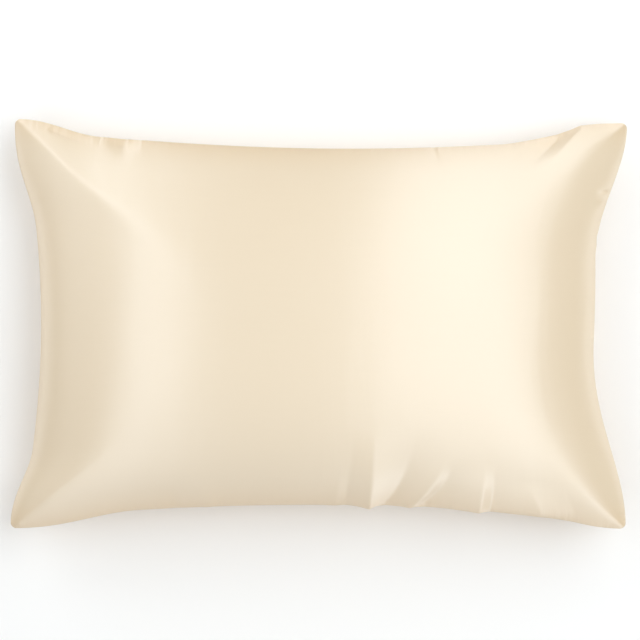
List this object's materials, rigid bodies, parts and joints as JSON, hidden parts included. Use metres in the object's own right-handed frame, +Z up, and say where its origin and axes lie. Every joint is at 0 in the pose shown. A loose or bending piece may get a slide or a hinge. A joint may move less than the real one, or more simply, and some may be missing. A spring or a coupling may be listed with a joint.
{
  "type": "pillowcase",
  "caption": "Smooth satin pillowcase filled by a pillow, with a rounded crown, drawn-in sides, flat corner ears with soft ridges and small puckers along its seams, lying on its back.",
  "frame": {"origin": "On the surface that the case lies on, under the middle of its bounding box.", "axes": "+X runs along the long side towards the closing seam, +Y along the short side towards the top edge of the picture, and +Z up out of the front face."},
  "size_m": [0.7464, 0.4964, 0.175],
  "materials": {
    "satin": "smooth ivory satin with a soft sheen across the cloth"
  },
  "bodies": {
    "root": {"pillowcase": "satin"}
  },
  "joints": []
}
